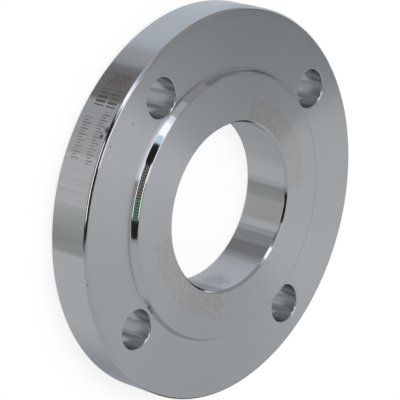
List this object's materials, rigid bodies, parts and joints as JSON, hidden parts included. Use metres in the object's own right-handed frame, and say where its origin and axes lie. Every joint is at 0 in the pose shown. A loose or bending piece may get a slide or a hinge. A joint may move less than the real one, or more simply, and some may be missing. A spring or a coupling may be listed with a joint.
{
  "type": "slip on flange",
  "caption": "Flat slip-on pipe flange with a raised sealing face, a plain bore for the pipe and a ring of bolt holes.",
  "frame": {"origin": "centre of the back face, on the axis of the bore, where the flange lies on a surface", "axes": "+Z along the axis of the bore, out of the raised face; the bolt holes stand at 45, 135, 225 and 315 degrees from +X"},
  "size_m": [0.18, 0.18, 0.024],
  "materials": {
    "turned_steel": "turned and polished, fine concentric tool marks"
  },
  "bodies": {
    "root": {"flange": "turned_steel"}
  },
  "joints": []
}
